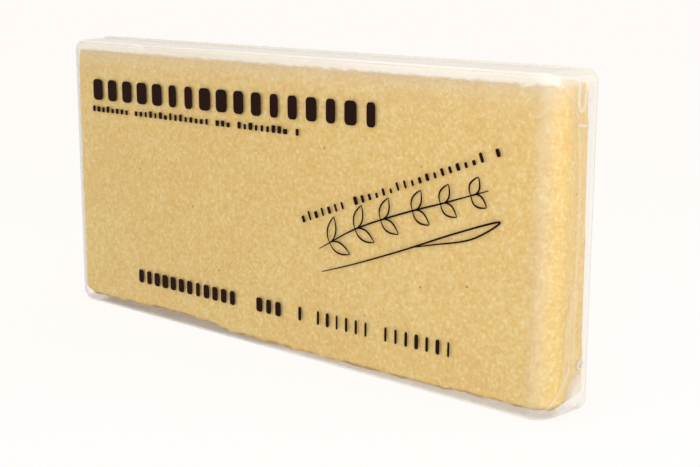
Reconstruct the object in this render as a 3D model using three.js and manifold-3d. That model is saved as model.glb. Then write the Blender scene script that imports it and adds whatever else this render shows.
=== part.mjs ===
// A slab of soft almond nougat sealed in a clear thermoformed pack, standing on its long edge.
// Millimetres. +X runs along the slab, -Y is the printed front, +Z is up.
// The origin is the middle of the pack's footprint, on the level that it stands on.
import * as THREE from 'three';
import { mergeVertices } from 'three/addons/utils/BufferGeometryUtils.js';
import Module from 'manifold-3d';

const wasm = await Module();
wasm.setup();

// Slab of nougat, 300 g as it is sold
const slabLength = 198.4;
const slabThickness = 15;
const slabFaceTop = 90.1;          // above the standing level, as the lower edge below is
const slabEndDraft = 0.5;          // the ends lean out this far from front to back
const slabEndLean = { total: 2.4, level: 0.6 };     // the right end's back edge isn't upright
const slabFrontEndRadius = 5.2;    // upright front edges, pressed round by the pack
const slabBackEndRadius = 0.8;
const slabEndEdgeRadius = 1.5;     // upper and lower edges of the ends
const slabEdgeRadius = 0.9;        // long edges, cut and slightly crumbled
const slabRaggedness = 0.32;       // how far the crumbled edges wander
const slabBackRise = 0.6;          // the top is this much higher at the back
const slabTopRoll = { height: 9, back: 0.8 };      // the face leans back just below its top edge
const slabLowCorners = { length: 8, left: 2.2, right: 4 };  // lower back corners, knocked off
// lower front edge as it was cut, x and z: knocked off at the left, hollow, then nearly on the base
const slabLowerEdge = [
  [-100, 4.4], [-89, 2.2], [-74, 2.4], [-48, 3.1], [-32, 2.7],
  [-22, 1.3], [19, 1.3], [56, 1.6], [83, 2.4], [100, 2.7],
];

// Clear tray, open at the back
const wall = 0.5;
const gap = 0.3;                   // clearance between pieces that touch
const filmThickness = 0.3;
const faceAbove = 2.9;             // from the slab's face up to the tray's top edge
const trayEndClearance = 0.8;      // outer wall beyond the slab's end, at the front
const trayEndFlare = 1.8;
const trayTopFlare = 0.4;
const trayLongEdgeRadius = 1.1;    // front edges along the top and the base
const trayEndEdgeRadius = 6;       // upright front edges
const trayCornerRadius = 4;
const flangeWidth = 0.5;

// How finely the curves are cut
const endStations = [0, 0.15, 0.5, 1.1, 2, 3.2, 5.2];        // mm in from the slab's end
const middleStations = 62;
const edgeAngles = [0, 30, 60, 90];
const rollSteps = [0.25, 0.5, 0.75, 1];
const cornerAngles = [0, 15, 30, 45, 60, 75, 90];
const frontSteps = [0, 0.02, 0.075, 0.17, 0.28, 0.42, 0.6, 0.83, 1];  // share of the end radius

const packDepth = wall + gap + slabThickness + gap + filmThickness;
const frontY = -packDepth / 2;
const slabFrontY = frontY + wall + gap;
const rimY = slabFrontY + slabThickness;
const filmY = rimY + gap;
const slabLowest = wall + gap + slabRaggedness;
const trayTopZ = slabFaceTop + faceAbove;
const trayHalfLength = slabLength / 2 - slabEndDraft + trayEndClearance;
const flangeHalfLength = trayHalfLength + trayEndFlare + flangeWidth;
const flangeTopZ = trayTopZ + trayTopFlare + flangeWidth;

const smooth = (from, to, v) => THREE.MathUtils.smoothstep(v, from, to);

// How much a quarter round of this radius still stands in, at a distance from its start
function roundInset(radius, distance) {
  const left = Math.max(0, radius - Math.max(0, distance));
  return radius - Math.sqrt(radius * radius - left * left);
}

// An uneven line along the slab: waves of unrelated lengths, different for each edge
function crumble(x, edge) {
  const waves = [[0.071, 0.45], [0.173, 0.3], [0.419, 0.22], [0.883, 0.16]];
  const sum = waves.reduce((s, [rate, share], i) =>
    s + share * Math.sin(2 * Math.PI * rate * x + 1.7 * edge * (i + 1)), 0);
  return slabRaggedness * sum;
}

function lowerEdge(x) {
  const next = slabLowerEdge.findIndex(([at]) => at > x);
  const [[fromX, fromZ], [toX, toZ]] = slabLowerEdge.slice(next - 1, next + 1);
  return THREE.MathUtils.lerp(fromZ, toZ, smooth(fromX, toX, x));
}

// Skins rings of equally many points and closes both ends with a fan
function loft(rings) {
  const count = rings[0].length;
  const points = rings.flat();
  const faces = [];
  for (let r = 0; r + 1 < rings.length; r++) {
    for (let i = 0; i < count; i++) {
      const j = (i + 1) % count;
      const a = r * count + i, b = r * count + j;
      faces.push(a, b, b + count, a, b + count, a + count);
    }
  }
  for (const [first, turned] of [[0, true], [(rings.length - 1) * count, false]]) {
    const centre = points.slice(first, first + count)
      .reduce((s, p) => s.add(p), new THREE.Vector3()).divideScalar(count);
    const tip = points.push(centre) - 1;
    for (let i = 0; i < count; i++) {
      const a = first + i, b = first + (i + 1) % count;
      faces.push(...(turned ? [tip, b, a] : [tip, a, b]));
    }
  }
  return facingOut(new THREE.BufferGeometry().setFromPoints(points).setIndex(faces));
}

function facingOut(geometry) {
  const at = geometry.getAttribute('position');
  const index = geometry.getIndex().array;
  const [a, b, c] = [new THREE.Vector3(), new THREE.Vector3(), new THREE.Vector3()];
  let volume = 0;
  for (let i = 0; i < index.length; i += 3) {
    a.fromBufferAttribute(at, index[i]);
    b.fromBufferAttribute(at, index[i + 1]);
    c.fromBufferAttribute(at, index[i + 2]);
    volume += a.dot(b.cross(c));
  }
  if (volume < 0) index.reverse();
  return geometry;
}

function toSolid(geometry) {
  const bare = new THREE.BufferGeometry();
  bare.setAttribute('position', geometry.getAttribute('position').clone());
  bare.setIndex(geometry.getIndex() ? [...geometry.getIndex().array] : null);
  const merged = mergeVertices(bare, 1e-5);
  return new wasm.Manifold(new wasm.Mesh({
    numProp: 3,
    vertProperties: new Float32Array(merged.getAttribute('position').array),
    triVerts: new Uint32Array(merged.getIndex().array),
  }));
}

function toGeometry(solid) {
  const mesh = solid.getMesh();
  const geometry = new THREE.BufferGeometry();
  geometry.setAttribute('position', new THREE.BufferAttribute(mesh.vertProperties, 3));
  geometry.setIndex(new THREE.BufferAttribute(mesh.triVerts, 1));
  return geometry;
}

// The slab is skinned along X. Each section is a four-sided shape with rounded corners
// whose lower and upper sides wander as the nougat was cut.
function slabSection(x, fromEnd) {
  const front = slabFrontY + roundInset(slabFrontEndRadius, fromEnd);
  const back = rimY - roundInset(slabBackEndRadius, fromEnd);
  const endRound = roundInset(slabEndEdgeRadius, fromEnd);
  const knockedOff = (x < 0 ? slabLowCorners.left : slabLowCorners.right)
    * (1 - smooth(0, slabLowCorners.length, fromEnd));
  const topFrontZ = slabFaceTop - endRound + crumble(x, 4);
  const corners = [
    { y: front, z: lowerEdge(x) + endRound + crumble(x, 1), fromFace: true },
    { y: back, z: slabLowest + knockedOff + endRound + crumble(x, 2), fromFace: false },
    { y: back, z: slabFaceTop + slabBackRise - endRound + crumble(x, 3), fromFace: true },
    { y: front + slabTopRoll.back, z: topFrontZ, fromFace: false },
  ];
  const centre = { y: (front + back) / 2, z: slabFaceTop / 2 };
  const rounded = corners.flatMap(({ y, z, fromFace }) => {
    const inY = Math.sign(centre.y - y) * slabEdgeRadius;
    const inZ = Math.sign(centre.z - z) * slabEdgeRadius;
    return edgeAngles.map((step) => {
      const angle = THREE.MathUtils.degToRad(fromFace ? step : 90 - step);
      return new THREE.Vector3(x,
        y + inY * (1 - Math.cos(angle)),
        z + inZ * (1 - Math.sin(angle)));
    });
  });
  const roll = rollSteps.map((down) => new THREE.Vector3(x,
    front + slabTopRoll.back * (1 - down) ** 2,
    topFrontZ - slabEdgeRadius - down * slabTopRoll.height));
  return [...rounded, ...roll];
}

function makeSlab() {
  const half = slabLength / 2;
  const inner = half - endStations.at(-1);
  const stations = [
    ...endStations.map((d) => -half + d),
    ...Array.from({ length: middleStations }, (_, i) =>
      inner * (2 * (i + 1) / (middleStations + 1) - 1)),
    ...endStations.toReversed().map((d) => half - d),
  ];
  const rings = stations.map((x) => slabSection(x, half - Math.abs(x)));
  // the ends lean out towards the back, and the right one leans out towards the base
  for (const point of rings.flat()) {
    const toFront = (rimY - point.y) / slabThickness;
    const nearEnd = smooth(half - 2 * slabFrontEndRadius, half, Math.abs(point.x));
    const lean = slabEndLean.total * (slabEndLean.level - point.z / slabFaceTop) * (1 - toFront);
    point.x += nearEnd * ((point.x > 0 ? lean : 0) - Math.sign(point.x) * slabEndDraft * toFront);
  }
  return loft(rings);
}

// A rectangle with round corners in XZ, as points at one depth
function outline(y, halfLength, low, high, radius) {
  const corners = [
    [halfLength - radius, low + radius, -90], [halfLength - radius, high - radius, 0],
    [radius - halfLength, high - radius, 90], [radius - halfLength, low + radius, 180],
  ];
  return corners.flatMap(([x, z, start]) => cornerAngles.map((step) => {
    const angle = THREE.MathUtils.degToRad(start + step);
    return new THREE.Vector3(x + radius * Math.cos(angle), y, z + radius * Math.sin(angle));
  }));
}

// The tray's form, outside for inset 0 and inside for inset = wall
function trayBody(inset, toY) {
  const endRadius = trayEndEdgeRadius - inset;
  const longRadius = trayLongEdgeRadius - inset;
  const depths = [...frontSteps.map((share) => share * endRadius), toY - frontY - inset];
  return loft(depths.map((d) => {
    const y = frontY + inset + d;
    const along = (y - frontY) / (rimY - frontY);
    return outline(y,
      trayHalfLength - inset + trayEndFlare * along - roundInset(endRadius, d),
      inset + roundInset(longRadius, d),
      trayTopZ - inset + trayTopFlare * along - roundInset(longRadius, d),
      trayCornerRadius - inset);
  }));
}

function flangePlate(fromY, toY) {
  const radius = trayCornerRadius + flangeWidth;
  return loft([fromY, toY].map((y) => outline(y, flangeHalfLength, 0, flangeTopZ, radius)));
}

function makeTray() {
  const outside = toSolid(trayBody(0, rimY)).add(toSolid(flangePlate(rimY - wall, rimY)));
  return toGeometry(outside.subtract(toSolid(trayBody(wall, rimY + wall))));
}

const nougatFinish = new THREE.MeshStandardMaterial({ color: 0xe2c583, roughness: 0.7, metalness: 0 });
const clearFinish = new THREE.MeshStandardMaterial({
  color: 0xf4f4f2, roughness: 0.08, metalness: 0, transparent: true, opacity: 0.25,
});

const object = new THREE.Group();
for (const [name, geometry, material] of [
  ['nougat_slab', makeSlab(), nougatFinish],
  ['clear_tray', makeTray(), clearFinish],
  ['back_film', flangePlate(filmY, filmY + filmThickness), clearFinish],
]) {
  const mesh = new THREE.Mesh(geometry, material);
  mesh.name = name;
  object.add(mesh);
}

export default object;
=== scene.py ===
import math
import bmesh
import bpy
import numpy as np
from mathutils import Matrix, Vector, noise


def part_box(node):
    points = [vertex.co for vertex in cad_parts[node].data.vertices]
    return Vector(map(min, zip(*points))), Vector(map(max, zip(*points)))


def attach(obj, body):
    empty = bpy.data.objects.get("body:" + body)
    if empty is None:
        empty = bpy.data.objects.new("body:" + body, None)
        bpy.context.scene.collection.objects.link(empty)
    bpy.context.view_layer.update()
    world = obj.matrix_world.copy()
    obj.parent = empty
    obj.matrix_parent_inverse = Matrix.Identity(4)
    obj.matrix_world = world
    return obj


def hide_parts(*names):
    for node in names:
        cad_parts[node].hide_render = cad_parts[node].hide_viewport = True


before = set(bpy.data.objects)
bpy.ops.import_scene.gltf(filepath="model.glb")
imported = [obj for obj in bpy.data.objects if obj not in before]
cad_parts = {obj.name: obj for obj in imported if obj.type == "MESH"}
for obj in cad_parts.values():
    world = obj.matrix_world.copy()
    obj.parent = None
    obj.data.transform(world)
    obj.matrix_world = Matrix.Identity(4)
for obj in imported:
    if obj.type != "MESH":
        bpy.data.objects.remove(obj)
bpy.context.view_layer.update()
mm = 0.001                      # sizes below are in mm, the scene is in metres
slabLow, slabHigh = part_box("nougat_slab")
trayLow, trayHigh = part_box("clear_tray")
filmLow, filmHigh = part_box("back_film")
print("frame loaded")


# helpers for nodes and materials

def hexColour(code):
    # a screen colour as amounts of light
    parts = [int(code[i:i + 2], 16) / 255 for i in (1, 3, 5)]
    linear = [v / 12.92 if v <= 0.04045 else ((v + 0.055) / 1.055) ** 2.4 for v in parts]
    return (*linear, 1.0)


def addNode(tree, kind, settings=None, links=None):
    node = tree.nodes.new(kind)
    for name, value in (settings or {}).items():
        if isinstance(name, int) or name in node.inputs:
            node.inputs[name].default_value = value
        else:
            setattr(node, name, value)
    for name, socket in (links or {}).items():
        tree.links.new(socket, node.inputs[name])
    return node


def addNoise(tree, spot, size, detail, roughness=0.5):
    # cloudy pattern with patches about this many mm across
    return addNode(tree, "ShaderNodeTexNoise",
                   {"Scale": 1 / (size * mm), "Detail": detail, "Roughness": roughness},
                   {"Vector": spot}).outputs["Fac"]


def addCells(tree, spot, size):
    # distance to the nearest of scattered points, about this many mm apart
    return addNode(tree, "ShaderNodeTexVoronoi", {"Scale": 1 / (size * mm)},
                   {"Vector": spot}).outputs["Distance"]


def mixColours(tree, share, first, second):
    # the first is a hex code or the outcome of another mix, the second is a hex code
    mix = addNode(tree, "ShaderNodeMix", {"data_type": "RGBA", 7: hexColour(second)}, {0: share})
    if isinstance(first, str):
        mix.inputs[6].default_value = hexColour(first)
    else:
        tree.links.new(first, mix.inputs[6])
    return mix.outputs[2]


def mixShaders(tree, share, first, second):
    return addNode(tree, "ShaderNodeMixShader", links={0: share, 1: first, 2: second}).outputs[0]


def newMaterial(name):
    material = bpy.data.materials.new(name)
    material.use_nodes = True
    material.node_tree.nodes.clear()
    return material, material.node_tree


def ownSpot(tree):
    # each point's place in the piece's own space, which patterns are laid out in
    return addNode(tree, "ShaderNodeTexCoord").outputs["Object"]


def toSurface(tree, shader):
    addNode(tree, "ShaderNodeOutputMaterial", links={"Surface": shader})


# helpers for meshes

def meshPiece(name, points, faces, material, smooth=True):
    mesh = bpy.data.meshes.new(name)
    mesh.from_pydata([tuple(p) for p in points], [], faces)
    mesh.update()
    if smooth:
        mesh.shade_smooth()
    else:
        mesh.shade_flat()
    mesh.materials.append(material)
    piece = bpy.data.objects.new(name, mesh)
    bpy.context.scene.collection.objects.link(piece)
    return piece


def makePlain(piece):
    # turns the modifiers' result into the piece's own mesh
    depsgraph = bpy.context.evaluated_depsgraph_get()
    mesh = bpy.data.meshes.new_from_object(piece.evaluated_get(depsgraph))
    piece.modifiers.clear()
    piece.data = mesh
    return piece


def thicken(piece, thickness, side):
    # makes a surface a sheet: it grows inwards for side -1 and outwards for side 1
    sheet = piece.modifiers.new("sheet", "SOLIDIFY")
    sheet.thickness = thickness * mm
    sheet.offset = side
    makePlain(piece)


def faceOutwards(piece):
    fixed = bmesh.new()
    fixed.from_mesh(piece.data)
    bmesh.ops.recalc_face_normals(fixed, faces=fixed.faces)
    fixed.to_mesh(piece.data)
    fixed.free()


def readVectors(items, name):
    flat = np.empty(len(items) * 3)
    items.foreach_get(name, flat)
    return flat.reshape(-1, 3)


def setPoints(mesh, points):
    mesh.vertices.foreach_set("co", points.ravel())
    mesh.update()


def setShares(mesh, name, shares):
    # a share from 0 to 1 at each point, read by the piece's material
    mesh.attributes.new(name, "FLOAT", "POINT").data.foreach_set("value", np.clip(shares, 0, 1))


# helpers for shapes

def smoothStep(low, high, value):
    t = np.clip((value - low) / (high - low), 0, 1)
    return t * t * (3 - 2 * t)


def bell(away, width):
    # 1 on a line, fading to nothing beside it
    return np.exp(-(away / width) ** 2)


def swell(t, power=1):
    # thin at both ends of a stretch, where t is 0 and 1, and full in its middle
    return np.sin(np.pi * t) ** power


def roundInset(radius, distance):
    # how much a quarter round of this radius still stands in, at a distance from its start
    left = max(0.0, radius - max(0.0, distance))
    return radius - math.sqrt(radius * radius - left * left)


def nearLine(points, start, end):
    # each point's distance to a straight stretch, and how far along it lies
    a, b = np.array(start, float), np.array(end, float)
    along = np.clip(((points - a) @ (b - a)) / ((b - a) @ (b - a)), 0, 1)
    return np.linalg.norm(points - a - along[:, None] * (b - a), axis=1), along


def skin(rings, capFirst=True, capLast=True):
    # joins rings that run anticlockwise seen from the front and follow each other backwards
    count = len(rings[0])
    faces = []
    for r in range(len(rings) - 1):
        for i in range(count):
            a, b = r * count + i, r * count + (i + 1) % count
            faces.append((a, a + count, b + count, b))
    if capFirst:
        faces.append(tuple(range(count)))
    if capLast:
        faces.append(tuple(range((len(rings) - 1) * count, len(rings) * count))[::-1])
    return np.concatenate(rings), faces


# camera, at the photograph's viewing angle

cameraLook = {
    "place": (258.4, -281.4, 119.5),
    "azimuth": 39.89,
    "elevation": 12.22,
    "roll": 0.52,
    "lens": 63.7,
    "sensorWidth": 36,
    "nearest": 10,              # nothing nearer than this is seen
}


def makeCamera():
    look = cameraLook
    camera = bpy.data.objects.new("camera", bpy.data.cameras.new("camera"))
    bpy.context.scene.collection.objects.link(camera)
    camera.data.lens = look["lens"]
    camera.data.sensor_width = look["sensorWidth"]
    camera.data.clip_start = look["nearest"] * mm
    turn = (Matrix.Rotation(math.radians(look["azimuth"]), 4, "Z")
            @ Matrix.Rotation(math.radians(90 - look["elevation"]), 4, "X")
            @ Matrix.Rotation(math.radians(look["roll"]), 4, "Z"))
    camera.matrix_world = Matrix.Translation(Vector(look["place"]) * mm) @ turn
    bpy.context.scene.camera = camera


makeCamera()
print("camera set")


# studio: pale floor, soft light from the right and above

studioLook = {
    "floor": "#fffbf8",
    "floorSize": 24000,
    "floorLevel": -0.05,        # just below the pack, so that the two don't flicker
    "floorGlow": 0.9,           # a light table: most of its light comes from below
    "floorAnswer": 0.1,         # share of the lamps' light that it throws back
    "surround": 0.94,           # light from all round
    "aim": (0, 0, 45),          # what the lamps point at
    "keyPlace": (330, -170, 180), "keySize": 200, "keyPower": 0.4,
    "topPlace": (60, -60, 520), "topSize": 320, "topPower": 0.6,
    "fillPlace": (500, -520, 300), "fillSize": 300, "fillPower": 0.7,
}


def addSoftbox(name, place, size, power):
    light = bpy.data.lights.new(name, "AREA")
    light.shape = "SQUARE"
    light.size = size * mm
    light.energy = power
    lamp = bpy.data.objects.new(name, light)
    bpy.context.scene.collection.objects.link(lamp)
    lamp.location = Vector(place) * mm
    towards = (Vector(studioLook["aim"]) - Vector(place)).normalized()
    lamp.rotation_euler = towards.to_track_quat("-Z", "Y").to_euler()


def makeFloor():
    look = studioLook
    half, level = look["floorSize"] * mm / 2, look["floorLevel"] * mm
    corners = [(x * half, y * half, level) for x, y in ((-1, -1), (1, -1), (1, 1), (-1, 1))]
    # white acrylic light table, so well lit that it shows no texture and hardly any shadow
    material, tree = newMaterial("white light table")
    dimmed = [v * look["floorAnswer"] for v in hexColour(look["floor"])[:3]]
    shader = addNode(tree, "ShaderNodeBsdfPrincipled", {
        "Base Color": (*dimmed, 1), "Roughness": 0.9, "Specular IOR Level": 0.0,
        "Emission Color": hexColour(look["floor"]), "Emission Strength": look["floorGlow"]})
    toSurface(tree, shader.outputs[0])
    floor = meshPiece("floor", corners, [(0, 1, 2, 3)], material)


def makeLights():
    look = studioLook
    world = bpy.data.worlds.new("studio")
    world.use_nodes = True
    tree = world.node_tree
    tree.nodes.clear()
    back = addNode(tree, "ShaderNodeBackground",
                   {"Color": hexColour(look["floor"]), "Strength": look["surround"]})
    addNode(tree, "ShaderNodeOutputWorld", links={"Surface": back.outputs[0]})
    bpy.context.scene.world = world
    for name in ("key", "top", "fill"):
        addSoftbox(name, look[name + "Place"], look[name + "Size"], look[name + "Power"])
    bpy.context.scene.view_settings.view_transform = "Standard"


makeFloor()
makeLights()
print("studio lit")


# nougat: almonds ground to a paste with sugar and honey, pressed into a slab

nougatLook = {
    "paste": "#dfc172", "lightGrain": "#ecdda8", "darkGrain": "#caa158", "speck": "#7d5228",
    "paleSpot": "#e2ce94", "warmSpot": "#d9ae5c", "edgeShadeColour": "#9c7440",
    "grainSize": 1.1,           # mm, ground almond as the photograph shows it
    "bitSpacing": 1.76,         # mm between paler bits of almond
    "spotSize": 2.6,            # mm, paler and warmer spots where the paste was kneaded
    "cloudSize": 22,            # mm, uneven patches in the paste
    "speckSpacing": 9,          # mm between bits of almond skin
    # coats over the paste in their order: colour, pattern, the pattern's value where the coat
    # starts, its value where the coat is thickest, and the coat's share there
    "coats": (
        ("warmSpot", "spots", 0.48, 0.34, 0.58),
        ("paleSpot", "spots", 0.5, 0.66, 0.62),
        ("darkGrain", "grains", 0.47, 0.3, 0.54),
        ("warmSpot", "clouds", 0.35, 0.7, 0.35),
        ("lightGrain", "grains", 0.52, 0.7, 0.62),
        ("lightGrain", "bits", 0.28, 0.12, 0.33),
        ("speck", "specks", 0.05, 0.03, 0.8),
        # painted shade along the slab's lower front edge, where it lies in shadow
        ("edgeShadeColour", "paintedEdgeShade", 0.0, 1.0, 0.9),
    ),
    "smoothest": 0.5, "roughest": 0.75,
    "bumpDepth": 0.12,          # mm
}


def nougatMaterial():
    look = nougatLook
    # cooked almond paste: matt and a little waxy, lighter almond grains in a yellow paste
    material, tree = newMaterial("ground almond nougat")
    spot = ownSpot(tree)
    patterns = {
        "grains": addNoise(tree, spot, look["grainSize"], detail=4.0, roughness=0.6),
        "clouds": addNoise(tree, spot, look["cloudSize"], detail=2.0),
        "bits": addCells(tree, spot, look["bitSpacing"]),
        "spots": addNoise(tree, spot, look["spotSize"], detail=3.0, roughness=0.65),
        "specks": addCells(tree, spot, look["speckSpacing"]),
        # share of painted shade along the lower front edge
        "paintedEdgeShade": addNode(tree, "ShaderNodeAttribute", {"attribute_name": "paintedEdgeShade"}).outputs["Fac"],
    }
    colour = look["paste"]
    for name, pattern, start, thickest, share in look["coats"]:
        coat = addNode(tree, "ShaderNodeMapRange",
                       {"From Min": start, "From Max": thickest, "To Max": share},
                       {"Value": patterns[pattern]})
        colour = mixColours(tree, coat.outputs[0], colour, look[name])
    rough = addNode(tree, "ShaderNodeMapRange",
                    {"To Min": look["smoothest"], "To Max": look["roughest"]},
                    {"Value": patterns["grains"]})
    bump = addNode(tree, "ShaderNodeBump",
                   {"Strength": 0.6, "Distance": look["bumpDepth"] * mm},
                   {"Height": patterns["grains"]})
    shader = addNode(tree, "ShaderNodeBsdfPrincipled",
                     {"Specular IOR Level": 0.35, "Subsurface Weight": 0.25,
                      "Subsurface Radius": (1.0, 0.6, 0.28), "Subsurface Scale": 2.5 * mm},
                     {"Base Color": colour, "Roughness": rough.outputs[0],
                      "Normal": bump.outputs[0]})
    toSurface(tree, shader.outputs[0])
    return material


slabShape = {
    "voxel": 0.8,
    # layers of a pattern: how fast they weaken, how much finer each one is, and their number
    "waveDepth": 0.06, "waveSize": 26,
    "lumpDepth": 0.05, "lumpSize": 2.6, "lumpLayers": (0.8, 2.1, 3),
    "pitDepth": 0.22, "pitSpacing": 6.5, "pitRadius": 0.75,
    "smallestPit": 0.4, "pitsMissing": 0.1,             # shares of the radius and of all pits
    "sizeDraw": 9.7, "missingDraw": 3.1,                # two unrelated draws for each pit
    "crumbDepth": 0.4, "crumbSize": 1.9, "crumbReach": 1.6, "crumbLayers": (0.7, 2.0, 3),
    "crumbShift": (31, 7, 3), "crumbMore": 0.15,
    "edgeTurn": 0.8,            # a point whose normal's longest part is this or less is all edge
    "lowerCut": 1.4,            # from the slab's lowest point up to about its lower front edge
    # painted shade under the lower front edge: size of its patches, how far the surface looks down,
    # depth along y, and its share
    "shadePatch": 3.5, "shadeTurn": (0.06, 0.3), "shadeDepth": (5, 3), "shadeShare": 0.85,
}


def relief(point, normal):
    # how far a point of the slab stands out of the plain form
    shape = slabShape
    p = Vector(point) / mm
    out = shape["waveDepth"] * noise.noise(p / shape["waveSize"])
    out += shape["lumpDepth"] * noise.fractal(p / shape["lumpSize"], *shape["lumpLayers"])
    distances, centres = noise.voronoi(p / shape["pitSpacing"])
    near, centre, least = distances[0], centres[0], shape["smallestPit"]
    grown = least + (1 - least) * noise.cell(centre * shape["sizeDraw"])
    size = shape["pitRadius"] / shape["pitSpacing"] * grown
    if near < size and noise.cell(centre * shape["missingDraw"]) > shape["pitsMissing"]:
        out -= shape["pitDepth"] * (1 - (near / size) ** 2)
    # the edges are crumbled: the nearer to one, the more grains are missing
    turned = smoothStep(1.0, shape["edgeTurn"], max(abs(v) for v in normal))
    toEdge = min(slabHigh.z / mm - p.z, p.z - slabLow.z / mm - shape["lowerCut"])
    edge = max(turned, bell(max(toEdge, 0), shape["crumbReach"]))
    crumb = noise.fractal(p / shape["crumbSize"] + Vector(shape["crumbShift"]),
                          *shape["crumbLayers"])
    missing = max(0.0, crumb + shape["crumbMore"])
    return (out - edge * shape["crumbDepth"] * missing) * mm


def makeSlab(material):
    shape = slabShape
    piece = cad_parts["nougat_slab"].copy()
    piece.data = piece.data.copy()
    for key in list(piece.keys()):
        del piece[key]
    piece.parent = None
    piece.name = "nougatSlab"
    bpy.context.scene.collection.objects.link(piece)
    merged = bmesh.new()
    merged.from_mesh(piece.data)
    bmesh.ops.remove_doubles(merged, verts=merged.verts, dist=0.001 * mm)
    merged.to_mesh(piece.data)
    merged.free()
    remesh = piece.modifiers.new("even mesh", "REMESH")
    remesh.mode = "VOXEL"
    remesh.voxel_size = shape["voxel"] * mm
    makePlain(piece)
    mesh = piece.data
    points = readVectors(mesh.vertices, "co")
    normals = readVectors(mesh.vertex_normals, "vector")
    heights = np.array([relief(p, n) for p, n in zip(points, normals)])
    setPoints(mesh, points + normals * heights[:, None])
    # painted shade: the downward-facing surface along the lower front edge is darkened where it lies
    # in shadow
    uneven = np.array([noise.noise(Vector(p) / mm / shape["shadePatch"]) for p in points])
    below = smoothStep(*shape["shadeTurn"], -normals[:, 2])
    below *= smoothStep(*shape["shadeDepth"], points[:, 1] / mm)
    setShares(mesh, "paintedEdgeShade", below * (shape["shadeShare"] + uneven))
    mesh.materials.clear()
    mesh.materials.append(material)
    mesh.shade_smooth()
    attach(piece, "root")
    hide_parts("nougat_slab")
    return piece


slab = makeSlab(nougatMaterial())
print("nougat slab made:", len(slab.data.polygons), "faces")


# almond grains that stand in the slab's surface

grainLook = {
    "perSquareMetre": 52000, "radius": 0.42, "sunk": 0.33, "seed": 7,
    "least": (0.7, 0.7, 0.7), "most": (1.2, 1.1, 1.1),      # of the radius, three ways
    "turn": (6.28, 6.28, 6.28),                             # about a full turn, in radians
    "colour": "#dfbd79", "paleColour": "#ead399", "toneSize": 2.5,
}


def almondMaterial():
    look = grainLook
    # ground almond: pale, matt and slightly oily
    material, tree = newMaterial("ground almond")
    spot = ownSpot(tree)
    tone = addNoise(tree, spot, look["toneSize"], detail=2.0)
    shader = addNode(tree, "ShaderNodeBsdfPrincipled",
                     {"Roughness": 0.5, "Specular IOR Level": 0.4, "Subsurface Weight": 0.2,
                      "Subsurface Radius": (1.0, 0.7, 0.4), "Subsurface Scale": 1.0 * mm},
                     {"Base Color": mixColours(tree, tone, look["colour"], look["paleColour"])})
    toSurface(tree, shader.outputs[0])
    return material


def newTree(name, sockets):
    tree = bpy.data.node_groups.new(name, "GeometryNodeTree")
    tree.interface.new_socket("Geometry", in_out="INPUT", socket_type="NodeSocketGeometry")
    for label, kind in sockets:
        tree.interface.new_socket(label, in_out="INPUT", socket_type="NodeSocket" + kind)
    tree.interface.new_socket("Geometry", in_out="OUTPUT", socket_type="NodeSocketGeometry")
    return tree, addNode(tree, "NodeGroupInput").outputs


def finishTree(tree, copies, material):
    # turns the copies into one mesh with its material
    real = addNode(tree, "GeometryNodeRealizeInstances", links={"Geometry": copies})
    painted = addNode(tree, "GeometryNodeSetMaterial",
                      links={"Geometry": real.outputs[0], "Material": material})
    addNode(tree, "NodeGroupOutput", links={"Geometry": painted.outputs[0]})
    return tree


def runTree(piece, tree, values):
    modifier = piece.modifiers.new(tree.name, "NODES")
    modifier.node_group = tree
    for item in tree.interface.items_tree:
        if item.in_out == "INPUT" and item.name in values:
            modifier[item.identifier] = values[item.name]
    return makePlain(piece)


def grainTree():
    look = grainLook
    tree, given = newTree("almondGrains", [
        ("Per square metre", "Float"), ("Radius", "Float"), ("Sunk", "Float"), ("Seed", "Int"),
        ("Material", "Material")])
    spread = addNode(tree, "GeometryNodeDistributePointsOnFaces", {"distribute_method": "RANDOM"},
                     {"Mesh": given["Geometry"], "Density": given["Per square metre"],
                      "Seed": given["Seed"]})
    inward = addNode(tree, "ShaderNodeMath", {"operation": "MULTIPLY", 1: -1.0}, {0: given["Sunk"]})
    offset = addNode(tree, "ShaderNodeVectorMath", {"operation": "SCALE"},
                     {"Vector": spread.outputs["Normal"], "Scale": inward.outputs[0]})
    sunk = addNode(tree, "GeometryNodeSetPosition",
                   links={"Geometry": spread.outputs["Points"], "Offset": offset.outputs[0]})
    bit = addNode(tree, "GeometryNodeMeshIcoSphere", {"Subdivisions": 1}, {"Radius": given["Radius"]})
    turn = addNode(tree, "FunctionNodeRandomValue",
                   {"data_type": "FLOAT_VECTOR", 1: look["turn"]}, {"Seed": given["Seed"]})
    size = addNode(tree, "FunctionNodeRandomValue",
                   {"data_type": "FLOAT_VECTOR", 0: look["least"], 1: look["most"]},
                   {"Seed": given["Seed"]})
    placed = addNode(tree, "GeometryNodeInstanceOnPoints",
                     links={"Points": sunk.outputs[0], "Instance": bit.outputs["Mesh"],
                            "Rotation": turn.outputs[0], "Scale": size.outputs[0]})
    return finishTree(tree, placed.outputs[0], given["Material"])


def makeGrains():
    look = grainLook
    piece = bpy.data.objects.new("almondGrains", slab.data.copy())
    bpy.context.scene.collection.objects.link(piece)
    runTree(piece, grainTree(), {
        "Per square metre": look["perSquareMetre"], "Radius": look["radius"] * mm,
        "Sunk": look["sunk"] * mm, "Seed": look["seed"], "Material": almondMaterial()})
    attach(piece, "root")
    return piece


grains = makeGrains()
print("almond grains made:", len(grains.data.polygons), "faces")


# clear pack: sheet softened by heat and drawn round the slab, shut with a film at the back

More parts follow.
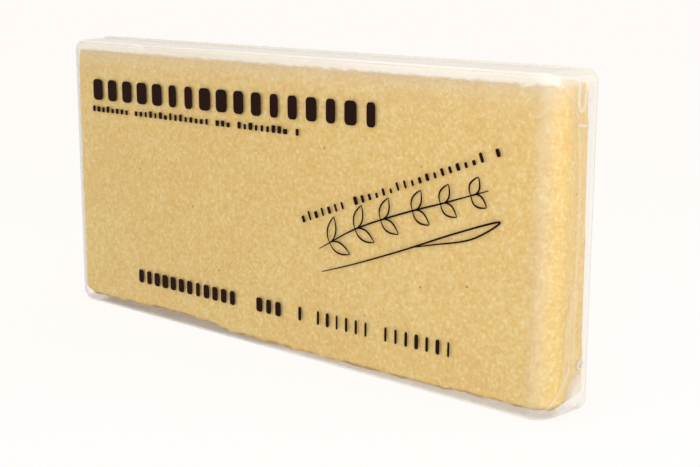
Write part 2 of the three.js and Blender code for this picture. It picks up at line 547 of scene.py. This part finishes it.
filmLook = {
    "tint": "#fefefd", "edgeTint": "#fafaf6", "roughness": 0.06,
    "shineAhead": 0.02,         # share of light thrown back where the eye meets the sheet head on
    "shineAlong": 0.95,         # and where it goes along the sheet
    "steepness": 5.0,           # the power of the slant that makes the shine set in late
    "mirrorFrom": 0.37,         # and the value of that power from which the shine is full
    "reflectionVeilLeft": 0.0, "reflectionVeilRight": 0.022, "reflectionVeilReach": 100,   # share of white veil from end to end: painted reflection, stronger towards the right
    # more painted reflection near the top: the most, between which heights, and how late it sets in
    "topHaze": 0.2, "topHazeFrom": 55, "topHazeTo": 91, "topHazeRise": 8.0,
    "milkAndPaintedShine": "#f4f1ea",          # sheet turned milky where it is bent sharply or stretched, a white that also paints highlights and reflections on the sheet
    "milkThrough": 0.25,        # share of light that comes through it from behind
    "baseThrough": 0.95,        # and through the base, which stands on the light
    "baseFrom": 0.1, "baseTo": 0.6,             # heights between which the base ends
    # the base is rubbed dull along the front, and shinier below the slab
    "baseShine": 0.1, "baseShineBack": 0.95, "dullFrom": -7.6, "dullTo": -4.2,
    "rippleSize": 30, "rippleDepth": 0.2,
}


def sheetShader(tree, look, part, bump):
    along = addNode(tree, "ShaderNodeLayerWeight", {"Blend": 0.5}, {"Normal": bump})
    steep = addNode(tree, "ShaderNodeMath", {"operation": "POWER", 1: look["steepness"]},
                    {0: along.outputs["Facing"]}).outputs[0]
    mirror = addNode(tree, "ShaderNodeMapRange",
                     {"From Max": look["mirrorFrom"], "To Min": look["shineAhead"],
                      "To Max": look["shineAlong"]},
                     {"Value": steep})
    rubbed = addNode(tree, "ShaderNodeMapRange",
                     {"From Min": look["dullFrom"] * mm, "From Max": look["dullTo"] * mm,
                      "To Min": look["baseShine"], "To Max": look["baseShineBack"]},
                     {"Value": part["Y"]})
    dull = addNode(tree, "ShaderNodeMapRange",
                   {"From Min": look["baseFrom"] * mm, "From Max": look["baseTo"] * mm},
                   {"Value": part["Z"], "To Min": rubbed.outputs[0]})
    share = addNode(tree, "ShaderNodeMath", {"operation": "MULTIPLY"},
                    {0: mirror.outputs[0], 1: dull.outputs[0]})
    tint = mixColours(tree, steep, look["tint"], look["edgeTint"])
    through = addNode(tree, "ShaderNodeBsdfTransparent", links={"Color": tint})
    shine = addNode(tree, "ShaderNodeBsdfGlossy", {"Roughness": look["roughness"]}, {"Normal": bump})
    return mixShaders(tree, share.outputs[0], through.outputs[0], shine.outputs[0])


def milkAndShineShader(tree, look, part, bump):
    lit = addNode(tree, "ShaderNodeBsdfDiffuse", {"Color": hexColour(look["milkAndPaintedShine"])},
                  {"Normal": bump})
    glow = addNode(tree, "ShaderNodeBsdfTranslucent", {"Color": hexColour(look["milkAndPaintedShine"])},
                   {"Normal": bump})
    behind = addNode(tree, "ShaderNodeMapRange",
                     {"From Min": look["baseTo"] * mm, "From Max": look["baseFrom"] * mm,
                      "To Min": look["milkThrough"], "To Max": look["baseThrough"]},
                     {"Value": part["Z"]})
    return mixShaders(tree, behind.outputs[0], lit.outputs[0], glow.outputs[0])


def milkAndShineAmount(tree, look, part):
    # the mesh says how milky each point is, painted highlights and reflections included, and a
    # painted reflection veil adds to it from end to end and to the top
    bent = addNode(tree, "ShaderNodeAttribute", {"attribute_name": "milkAndShineShare"})
    # painted reflection veil, growing towards the right end
    across = addNode(tree, "ShaderNodeMapRange",
                     {"From Min": -look["reflectionVeilReach"] * mm, "From Max": look["reflectionVeilReach"] * mm,
                      "To Min": look["reflectionVeilLeft"], "To Max": look["reflectionVeilRight"]},
                     {"Value": part["X"]})
    milkAndShineShare = addNode(tree, "ShaderNodeMapRange",
                    links={"Value": bent.outputs["Fac"], "To Min": across.outputs[0]})
    # painted reflection, growing towards the top
    climb = addNode(tree, "ShaderNodeMapRange",
                    {"From Min": look["topHazeFrom"] * mm, "From Max": look["topHazeTo"] * mm},
                    {"Value": part["Z"]})
    rise = addNode(tree, "ShaderNodeMath", {"operation": "POWER", 1: look["topHazeRise"]},
                   {0: climb.outputs[0]})
    return addNode(tree, "ShaderNodeMath",
                   {"operation": "MULTIPLY_ADD", 1: look["topHaze"], "use_clamp": True},
                   {0: rise.outputs[0], 2: milkAndShineShare.outputs[0]}).outputs[0]


def clearMaterial(name):
    look = filmLook
    # clear polyester sheet: lets light straight through, shines more at a slant, looks a little
    # greyer where the eye goes along it, and is milky along its creases and folds, a white that also
    # paints highlights and reflections on it
    material, tree = newMaterial(name)
    spot = ownSpot(tree)
    ripple = addNoise(tree, spot, look["rippleSize"], detail=1.0)
    bump = addNode(tree, "ShaderNodeBump",
                   {"Strength": 0.5, "Distance": look["rippleDepth"] * mm},
                   {"Height": ripple}).outputs[0]
    part = addNode(tree, "ShaderNodeSeparateXYZ", links={0: spot}).outputs
    toSurface(tree, mixShaders(tree, milkAndShineAmount(tree, look, part),
                               sheetShader(tree, look, part, bump),
                               milkAndShineShader(tree, look, part, bump)))
    return material


trayShape = {
    "wall": 0.45, "endRadius": 6.0, "longRadius": 1.1, "cornerRadius": 4.0,
    "rimOut": 2.3, "topOut": 0.9,       # the solid's rim stands this far out from its front edges
    "endFlare": 1.15, "topFlare": 0.4, "flange": 0.2, "topFlange": 0.5,
    "endLean": 1.0,             # the right end's rim is further out at the base than at the top
    "baseHeight": 0.4,          # lower than this the sheet is base, which has no flange
    "rimGap": 0.02,             # from the base's back edge to the solid's rim
    # rings of the mesh: the face's by inset and share of the sink, then depths behind the face
    "faceSink": 0.06,
    "faceRings": ((3.9, 1), (3.3, 1), (2.8, 1), (2.3, 1), (1.8, 1), (1.4, 1), (1.0, 1), (0.6, 0.5)),
    "frontDepths": (0, 0.03, 0.12, 0.26, 0.45, 0.68, 0.95, 1.25, 1.6, 2.0, 2.45, 2.9),
    "flangeSteps": (0.25, 0.6, 1),
    "stepAcross": 1.2, "stepUp": 0.55, "stepDeep": 0.36, "cornerSteps": 12,
    # milky lines along the front edges and the rim, partly painted reflection where the sheet bends:
    # share of milk, width, and how far in they lie
    "edgeReflectionLine": 0.1, "edgeWidth": 0.3, "edgeIn": 0.3, "edgeBack": 0.25,
    "rimReflectionLine": 0.1, "rimWidth": 0.6,
    # their unevenness: size, place in the pattern, mean share and swing, weakest and strongest
    "edgeWave": 17, "edgeDraw": 4, "edgeMean": 0.9, "edgeSwing": 0.9, "edgeRange": (0.3, 1.6),
    # strip of painted reflection above the slab, drawn as milky sheet, mm below the top, with a clear
    # line where the sheet turns back
    "stripReflection": 0.6, "stripLow": 3.4, "stripHigh": 2.2, "stripMean": 0.95, "stripSwing": 0.3,
    "stripWander": 0.45, "stripWave": 3.6, "stripDraw": (2, 7), "stripLayers": (0.8, 2.1, 2),
    "clearLine": 0.55, "clearWidth": 0.2, "clearShare": 0.8,
    "topClear": 0.75, "topClearFrom": 0.8, "topClearTo": 2.0,   # the top wall itself is clearer
    "baseMilk": 0.22, "baseMilkFrom": 0.6, "baseMilkTo": 0.1,
    "endReflection": 0.11, "endReflectionAt": 94.6, "endReflectionWidth": 2.7,    # painted reflection: an upright veil near the right end
    # creases in the end walls, raised and drawn as painted highlight lines: side, strength, then
    # depth behind the front and height, mm
    "creases": (
        (1, 0.45, ((0.9, 2.6), (5.0, 9.0), (9.8, 16.0), (9.6, 36))),
        (1, 0.4, ((9.6, 36), (10.1, 55), (9.5, 66), (8.2, 80))),
        (1, 0.25, ((8.2, 80), (6.4, 85), (0.9, 91.4))),
        (1, 0.9, ((7.8, 91.6), (7.6, 84.8), (8.8, 83.2), (10.5, 84.2), (11.3, 90.8))),
        (1, 0.8, ((7.8, 79.7), (11.4, 79.3))),
        (1, 0.4, ((7.8, 12.5), (8.1, 36))),
        (1, 0.35, ((6.2, 11.0), (6.9, 30))),
        (-1, 0.7, ((0.9, 2.2), (9.8, 14.0), (10.2, 80), (0.9, 91.5))),
    ),
    "creaseHighlight": 0.55, "creaseHeight": 0.14, "creaseWidth": 0.3,
    "creaseBand": 7,            # the end walls lie this near to the ends
    # folds where the sheet gathered, their white partly painted highlight on the crinkles: start,
    # end, width, height and share of milk, mm
    "folds": (
        ((-66, -7.6, 92.6), (-56, -6.8, 92.9), 0.6, -0.5, 0.4),
        ((-62.5, -7.9, 92.7), (-57, -8.1, 91.4), 0.55, -0.45, 0.45),
        ((-58, -8.1, 91.6), (-38, -8.1, 90.6), 0.4, -0.25, 0.2),
        ((-52, -6.4, 93.0), (-34, -4.6, 93.1), 0.7, -0.35, 0.15),
        ((86.5, -8.1, 89.5), (96.5, -7.6, 91.5), 0.5, 0.0, 0.65),
        ((93, -8.1, 90.8), (98.4, -5.9, 91.9), 0.5, 0.0, 0.65),
        ((100.6, 3.0, 36.0), (100.9, 6.2, 36.5), 0.6, -0.1, 0.15),
        ((100.4, 3.0, 52.0), (100.7, 6.2, 51.5), 0.6, -0.1, 0.15),
        ((101.2, 6.2, 12.0), (100.4, 1.0, 2.5), 3.0, 0.0, 0.62),
        ((100.6, 3.0, 3.0), (99.0, -5.0, 1.6), 1.8, 0.0, 0.5),
    ),
    "foldEnd": 0.03, "foldFade": 0.5,           # share left out at both ends, and how they fade
}


def outline(y, halfLength, low, high):
    # a ring of points round the pack at one depth, evenly spaced along the straight sides
    shape = trayShape
    radius, turns = shape["cornerRadius"], shape["cornerSteps"]
    right, lower, upper = halfLength - radius, low + radius, high - radius
    across = round(2 * (trayHigh.x / mm) / shape["stepAcross"])
    up = round((trayHigh.z / mm) / shape["stepUp"])

    def onCorner(x, z, degrees):
        angle = math.radians(degrees)
        return (x + radius * math.cos(angle), y, z + radius * math.sin(angle))

    # each corner's centre, the angle where it starts, and the steps to the next corner
    corners = [(right, lower, -90, up), (right, upper, 0, across),
               (-right, upper, 90, up), (-right, lower, 180, across)]
    ring = []
    for (x, z, start, steps), (nextX, nextZ, nextStart, _) in zip(corners, corners[1:] + corners[:1]):
        ring += [onCorner(x, z, start + 90 * turn / turns) for turn in range(turns + 1)]
        a, b = Vector(ring[-1]), Vector(onCorner(nextX, nextZ, nextStart))
        ring += [tuple(a.lerp(b, step / steps)) for step in range(1, steps)]
    return np.array(ring)


def leanEnd(ring, depthShare):
    lean = trayShape["endLean"] * (0.5 - ring[:, 2] / (trayHigh.z / mm)) * depthShare
    ring[:, 0] += np.where(ring[:, 0] > 0, lean, 0)
    return ring


def trayRings():
    shape = trayShape
    front, rim = trayLow.y / mm, trayHigh.y / mm
    half = trayHigh.x / mm - shape["rimOut"]
    top = trayHigh.z / mm - shape["topOut"]
    deep = rim - shape["wall"] - front
    endRadius, longRadius = shape["endRadius"], shape["longRadius"]
    rings = [outline(front + shape["faceSink"] * sunk, half - endRadius - inset,
                     longRadius + inset, top - longRadius - inset)
             for inset, sunk in shape["faceRings"]]
    early = list(shape["frontDepths"])
    steps = round((deep - early[-1]) / shape["stepDeep"])
    later = [early[-1] + (deep - early[-1]) * (i + 1) / steps for i in range(steps)]
    for d in early + later:
        longInset = roundInset(longRadius, d)
        ring = outline(front + d, half + shape["endFlare"] * d / deep - roundInset(endRadius, d),
                       longInset, top + shape["topFlare"] * d / deep - longInset)
        rings.append(leanEnd(ring, d / deep))
    for grown in shape["flangeSteps"]:
        ring = outline(front + deep, half + shape["endFlare"] + shape["flange"] * grown, 0,
                       top + shape["topFlare"] + shape["topFlange"] * grown)
        # there is no flange under the pack: the base runs on to the rim instead
        base = ring[:, 2] < shape["baseHeight"]
        ring[base, 1] += (rim - shape["rimGap"] - front - deep) * grown
        rings.append(leanEnd(ring, 1))
    return rings


def edgeShares(points):
    # milky lines along the two long front edges and round the rim, partly painted reflection where
    # the sheet bends, stronger here and there
    shape = trayShape
    x, y, z = points.T
    half, top = x.max(), trayHigh.z / mm - shape["topOut"]
    near, rim = trayLow.y / mm + shape["edgeBack"], trayHigh.y / mm - shape["wall"]
    uneven = np.array([noise.noise(Vector((a, b, shape["edgeDraw"])))
                       for a, b in zip(x / shape["edgeWave"], z / shape["edgeWave"])])
    shares = shape["rimReflectionLine"] * smoothStep(rim - shape["rimWidth"], rim, y)
    for level in (shape["edgeIn"], top - shape["edgeIn"]):
        away, _ = nearLine(points, (-half, near, level), (half, near, level))
        shares = np.maximum(shares, shape["edgeReflectionLine"] * bell(away, shape["edgeWidth"]))
    shares *= np.clip(shape["edgeMean"] + shape["edgeSwing"] * uneven, *shape["edgeRange"])
    # painted reflection strip above the slab, with its clear line and the clearer top wall
    wander = np.array([noise.fractal(Vector((a, *shape["stripDraw"])), *shape["stripLayers"])
                       for a in x / shape["stripWave"]])
    strip = shape["stripReflection"] * smoothStep(top - shape["stripLow"], top - shape["stripHigh"],
                                            z + shape["stripWander"] * wander)
    strip *= 1 - shape["clearShare"] * bell(z - top + shape["clearLine"], shape["clearWidth"])
    strip *= 1 - shape["topClear"] * smoothStep(near + shape["topClearFrom"],
                                                near + shape["topClearTo"], y)
    shares = np.maximum(shares, strip * (shape["stripMean"] + shape["stripSwing"] * uneven))
    base = shape["baseMilk"] * smoothStep(shape["baseMilkFrom"], shape["baseMilkTo"], z)
    # painted reflection: an upright band near the right end
    endReflectionShare = shape["endReflection"] * bell(x - shape["endReflectionAt"], shape["endReflectionWidth"])
    return shares + base + endReflectionShare


def makeTray(material):
    shape = trayShape
    points, faces = skin(trayRings(), capLast=False)
    tray = meshPiece("clearTray", points * mm, faces, material)
    bump = np.zeros(len(points))
    milkAndPaintedShine = edgeShares(points)
    deep = points[:, 1] - trayLow.y / mm
    flat = np.stack([np.zeros(len(points)), deep, points[:, 2]], axis=1)
    for side, strength, path in shape["creases"]:
        onEnd = points[:, 0] * side > trayHigh.x / mm - shape["creaseBand"]
        for (d0, z0), (d1, z1) in zip(path, path[1:]):
            away, _ = nearLine(flat, (0, d0, z0), (0, d1, z1))
            ridge = strength * np.where(onEnd, bell(away, shape["creaseWidth"]), 0)
            bump = np.maximum(bump, shape["creaseHeight"] * ridge)
            # painted highlight along each crease
            milkAndPaintedShine = np.maximum(milkAndPaintedShine, shape["creaseHighlight"] * ridge)
    for start, end, width, height, share in shape["folds"]:
        away, along = nearLine(points, start, end)
        within = np.clip(along, shape["foldEnd"], 1 - shape["foldEnd"])
        fade = swell(within, shape["foldFade"]) * bell(away, width)
        bump += height * fade
        # milk on the folds, partly painted highlight on the crinkles
        milkAndPaintedShine = np.maximum(milkAndPaintedShine, share * fade)
    setShares(tray.data, "milkAndShineShare", milkAndPaintedShine)
    normals = readVectors(tray.data.vertex_normals, "vector")
    setPoints(tray.data, points * mm + normals * bump[:, None] * mm)
    thicken(tray, shape["wall"], -1)
    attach(tray, "root")
    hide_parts("clear_tray")
    return tray


traySheet = clearMaterial("clear polyester sheet")
tray = makeTray(traySheet)
print("clear tray made:", len(tray.data.polygons), "faces")


backShape = {
    "thickness": 0.2, "trim": 0.95, "steps": 12, "band": 3.9,
    "sealWidth": 1.6, "sealMilk": 0.06,
    "sealIn": 0.25,             # sealed down, the film lies this far in front of the solid's
    "liftWidth": 1.6,           # it lifts over the slab's back within this width
}


def makeBackFilm(material):
    shape = backShape
    half, top = filmHigh.x / mm - shape["trim"], filmHigh.z / mm
    sealed, lifted = filmLow.y / mm - shape["sealIn"], filmHigh.y / mm - shape["thickness"]
    seal = shape["sealWidth"]
    insets = [shape["band"] * i / shape["steps"] for i in range(shape["steps"] + 1)]
    rings = []
    for inset in insets:
        lift = smoothStep(seal, seal + shape["liftWidth"], inset)
        y = sealed * (1 - lift) + lifted * lift
        rings.append(leanEnd(outline(y, half - inset, inset, top - inset), 1))
    points, faces = skin(rings, capFirst=False)
    film = meshPiece("backFilm", points * mm, faces, material)
    inwards = np.repeat(insets, len(rings[0]))
    setShares(film.data, "milkAndShineShare", shape["sealMilk"] * (1 - smoothStep(0, seal, inwards)))
    thicken(film, shape["thickness"], 1)
    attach(film, "root")
    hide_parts("back_film")
    return film


backFilm = makeBackFilm(clearMaterial("clear lidding film"))
print("back film made:", len(backFilm.data.polygons), "faces")


# print on the front: plain blocks and a sprig in black ink

inkLook = {
    "colour": "#200c05", "smoothest": 0.4, "roughest": 0.65, "mottleSize": 0.5,
    "depth": 0.04, "lift": 0.002,       # the print's back lies this far off the sheet
}


def inkMaterial():
    look = inkLook
    # black flexographic ink: thin, even and nearly matt
    material, tree = newMaterial("black printing ink")
    spot = ownSpot(tree)
    rough = addNode(tree, "ShaderNodeMapRange",
                    {"To Min": look["smoothest"], "To Max": look["roughest"]},
                    {"Value": addNoise(tree, spot, look["mottleSize"], detail=2.0)})
    shader = addNode(tree, "ShaderNodeBsdfPrincipled",
                     {"Base Color": hexColour(look["colour"]), "Specular IOR Level": 0.05},
                     {"Roughness": rough.outputs[0]})
    toSurface(tree, shader.outputs[0])
    return material


def printLevel():
    return trayLow.y / mm + trayShape["faceSink"] - inkLook["depth"] / 2 - inkLook["lift"]


def finishPrint(piece):
    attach(piece, "root")


ink = inkMaterial()

# a block's corners: radii as shares of its width and height, and steps
blockShape = {"across": 0.32, "up": 0.192, "steps": 4}

# each row: where it starts on the face, its slope, and the blocks along it
rowLooks = {
    "headingPrint": {
        "start": (-88.0, 73.1), "slope": 0.6, "count": 17, "pitch": 7.6, "height": 7.2,
        "lowest": 1.0, "least": 0.4, "most": 0.68, "keep": 1.0, "seed": 3},
    "underHeadingPrint": {
        "start": (-87.8, 69.0), "slope": 0.2, "count": 40, "pitch": 2.45, "height": 2.4,
        "lowest": 0.6, "least": 0.4, "most": 0.72, "keep": 0.9, "seed": 5},
    "slantedPrint": {
        "start": (10.6, 43.2), "slope": 21.5, "count": 28, "pitch": 2.75, "height": 2.9,
        "lowest": 0.45, "least": 0.25, "most": 0.5, "keep": 0.88, "seed": 4},
    "boldLinePrint": {
        "start": (-66.0, 11.3), "slope": 0.2, "count": 17, "pitch": 4.05, "height": 4.6,
        "lowest": 1.0, "least": 0.42, "most": 0.72, "keep": 0.9, "seed": 11},
    "thinLinePrint": {
        "start": (8.2, 11.9), "slope": 0.2, "count": 16, "pitch": 3.75, "height": 4.4,
        "lowest": 1.0, "least": 0.18, "most": 0.4, "keep": 0.93, "seed": 6},
}


def roundedBlock():
    # a block of unit size with round corners, standing on its lower edge
    across, up, steps = blockShape["across"], blockShape["up"], blockShape["steps"]
    ring = []
    for side, level, start in ((0.5, 0, -90), (0.5, 1, 0), (-0.5, 1, 90), (-0.5, 0, 180)):
        x = side - math.copysign(across, side)
        z = level + (up if level == 0 else -up)
        for step in range(steps + 1):
            angle = math.radians(start + 90 * step / steps)
            ring.append((x + across * math.cos(angle), z + up * math.sin(angle)))
    return skin([np.array([(x, y, z) for x, z in ring]) for y in (-0.5, 0.5)])


def rowTree():
    tree, given = newTree("printedRow", [
        ("Count", "Int"), ("Pitch", "Float"), ("Height", "Float"), ("Depth", "Float"),
        ("Lowest", "Float"), ("Least", "Float"), ("Most", "Float"), ("Keep", "Float"),
        ("Seed", "Int"), ("Material", "Material")])
    step = addNode(tree, "ShaderNodeCombineXYZ", links={"X": given["Pitch"]})
    line = addNode(tree, "GeometryNodeMeshLine", {"mode": "OFFSET"},
                   {"Count": given["Count"], "Offset": step.outputs[0]})
    kept = addNode(tree, "FunctionNodeRandomValue", {"data_type": "BOOLEAN"},
                   {"Probability": given["Keep"], "Seed": given["Seed"]})
    share = addNode(tree, "FunctionNodeRandomValue", {"data_type": "FLOAT"},
                    {2: given["Least"], 3: given["Most"], "Seed": given["Seed"]})
    width = addNode(tree, "ShaderNodeMath", {"operation": "MULTIPLY"},
                    {0: share.outputs[1], 1: given["Pitch"]})
    nextSeed = addNode(tree, "ShaderNodeMath", {"operation": "ADD", 1: 1.0}, {0: given["Seed"]})
    upShare = addNode(tree, "FunctionNodeRandomValue", {"data_type": "FLOAT", 3: 1.0},
                      {2: given["Lowest"], "Seed": nextSeed.outputs[0]})
    tall = addNode(tree, "ShaderNodeMath", {"operation": "MULTIPLY"},
                   {0: upShare.outputs[1], 1: given["Height"]})
    size = addNode(tree, "ShaderNodeCombineXYZ",
                   links={"X": width.outputs[0], "Y": given["Depth"], "Z": tall.outputs[0]})
    placed = addNode(tree, "GeometryNodeInstanceOnPoints",
                     links={"Points": line.outputs[0], "Selection": kept.outputs[3],
                            "Instance": given["Geometry"], "Scale": size.outputs[0]})
    return finishTree(tree, placed.outputs[0], given["Material"])


def makeRow(name, look, tree):
    points, faces = roundedBlock()
    piece = meshPiece(name, points, faces, ink, smooth=False)
    runTree(piece, tree, {
        "Count": look["count"], "Pitch": look["pitch"] * mm, "Height": look["height"] * mm,
        "Depth": inkLook["depth"] * mm, "Lowest": look["lowest"], "Least": look["least"],
        "Most": look["most"], "Keep": look["keep"], "Seed": look["seed"], "Material": ink})
    x, z = look["start"]
    place = Matrix.Translation(Vector((x + look["pitch"] / 2, printLevel(), z)) * mm)
    piece.data.transform(place @ Matrix.Rotation(math.radians(-look["slope"]), 4, "Y"))
    finishPrint(piece)


rows = rowTree()
for rowName, rowLook in rowLooks.items():
    makeRow(rowName, rowLook, rows)
print("printed rows made")


sprigLook = {
    "stem": ((18, 36), (32, 44), (48, 50.5), (64, 56), (78, 61)),
    "swash": ((19, 29), (32, 33.5), (50, 40.5), (68, 48), (82, 53), (73, 47), (60, 43.5), (52, 41.5)),
    "stopSteps": 10,            # points of a line from one stop to the next
    # an ink line: width, its ends' share of it, where it starts to swell, and how fast
    "line": 0.55, "thin": 0.35, "lineEnd": 0.02, "lineSwell": 0.6,
    "leaves": 6, "leafLength": 8.5, "leafWidth": 3.4, "leafTurn": 48, "leafPoints": 15,
    "firstLeaf": 0.6,           # how far up it stands, as a share of the space between leaves
    "leafShrink": 0.35,         # leaves get shorter towards the tip of the stem
    "leafSwell": 0.8, "leafFoot": 1.15, "leafTaper": 0.4,       # fuller near the stem
}


def smoothPath(stops):
    # a Catmull-Rom curve through the stops
    steps = sprigLook["stopSteps"]
    stops = [np.array(s, float) for s in stops]
    padded = [2 * stops[0] - stops[1], *stops, 2 * stops[-1] - stops[-2]]
    path = []
    for p0, p1, p2, p3 in zip(padded, padded[1:], padded[2:], padded[3:]):
        for i in range(steps):
            t = i / steps
            path.append(0.5 * (2 * p1 + (p2 - p0) * t + (2 * p0 - 5 * p1 + 4 * p2 - p3) * t * t
                               + (3 * p1 - p0 - 3 * p2 + p3) * t ** 3))
    path.append(stops[-1])
    return np.array(path)


def stroke(path):
    # an ink line that swells in the middle and thins at both ends
    look = sprigLook
    run = np.gradient(path, axis=0)
    side = np.stack([-run[:, 1], run[:, 0]], axis=1)
    side /= np.linalg.norm(side, axis=1)[:, None]
    t = np.linspace(look["lineEnd"], 1 - look["lineEnd"], len(path))
    full = look["thin"] + (1 - look["thin"]) * swell(t, look["lineSwell"])
    half = (look["line"] / 2 * full)[:, None]
    front, back = printLevel() - inkLook["depth"] / 2, printLevel() + inkLook["depth"] / 2
    return skin([np.array([(a[0], front, a[1]), (b[0], front, b[1]),
                           (b[0], back, b[1]), (a[0], back, a[1])])
                 for a, b in zip(path + side * half, path - side * half)])


def leafEdges(root, heading, at):
    # the two edges of the two leaves that stand at one place of the stem
    look = sprigLook
    t = np.linspace(0, 1, look["leafPoints"])
    length = t * look["leafLength"] * (1 - look["leafShrink"] * at)
    belly = (look["leafWidth"] / 2 * swell(t, look["leafSwell"])
             * (look["leafFoot"] - look["leafTaper"] * t))
    edges = []
    for hand in (1, -1):
        turn = heading + hand * math.radians(look["leafTurn"])
        ahead = np.array([math.cos(turn), math.sin(turn)])
        over = np.array([-ahead[1], ahead[0]])
        edges += [root + ahead * length[:, None] + over * (edge * belly)[:, None]
                  for edge in (1, -1)]
    return edges


def makeSprig():
    look = sprigLook
    stem = smoothPath(look["stem"])
    lines = [stem, smoothPath(look["swash"])]
    for i in range(look["leaves"]):
        at = (i + look["firstLeaf"]) / look["leaves"]
        k = int(at * (len(stem) - 2))
        run = stem[k + 1] - stem[k]
        lines += leafEdges(stem[k], math.atan2(run[1], run[0]), at)
    points, faces = [], []
    for line in lines:
        linePoints, lineFaces = stroke(line)
        start = sum(len(p) for p in points)
        points.append(linePoints)
        faces += [tuple(v + start for v in face) for face in lineFaces]
    piece = meshPiece("sprigPrint", np.concatenate(points) * mm, faces, ink, smooth=False)
    faceOutwards(piece)
    finishPrint(piece)


makeSprig()
print("sprig printed")


# a curl of sheet tucked in at the lower back corner of the right end

curlLook = {
    "place": (100.36, 5.6, 13.8), "turns": 1.6, "steps": 40, "sides": 10,
    "radius": 1.8, "tighten": 0.62, "squash": 0.8,      # it winds inwards and is pressed low
    "tube": 0.36, "thin": 0.35, "tubeEnd": 0.06,        # thinner at both ends
    "drift": 0.02, "flatness": 0.25,    # it lies flat between the slab and the end wall
    "milkAndPaintedShine": 0.85,
}


def makeCurl():
    look = curlLook
    rings = []
    for t in np.linspace(0, 1, look["steps"] + 1):
        angle = 2 * math.pi * look["turns"] * t
        outward = np.array([0, math.cos(angle), math.sin(angle) * look["squash"]])
        centre = look["radius"] * (1 - look["tighten"] * t) * outward
        centre += np.array(look["place"]) + (look["drift"] * t, 0, 0)
        full = swell(look["tubeEnd"] + (1 - 2 * look["tubeEnd"]) * t)
        size = look["tube"] * (look["thin"] + (1 - look["thin"]) * full)
        sideways = np.array([look["flatness"], 0, 0])
        rings.append(np.array([
            centre + size * (outward * math.cos(a) + sideways * math.sin(a))
            for a in np.linspace(0, 2 * math.pi, look["sides"], endpoint=False)]))
    points, faces = skin(rings)
    piece = meshPiece("tuckedCurl", points * mm, faces, traySheet)
    setShares(piece.data, "milkAndShineShare", np.full(len(points), look["milkAndPaintedShine"]))
    faceOutwards(piece)
    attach(piece, "root")


makeCurl()
print("curl made")
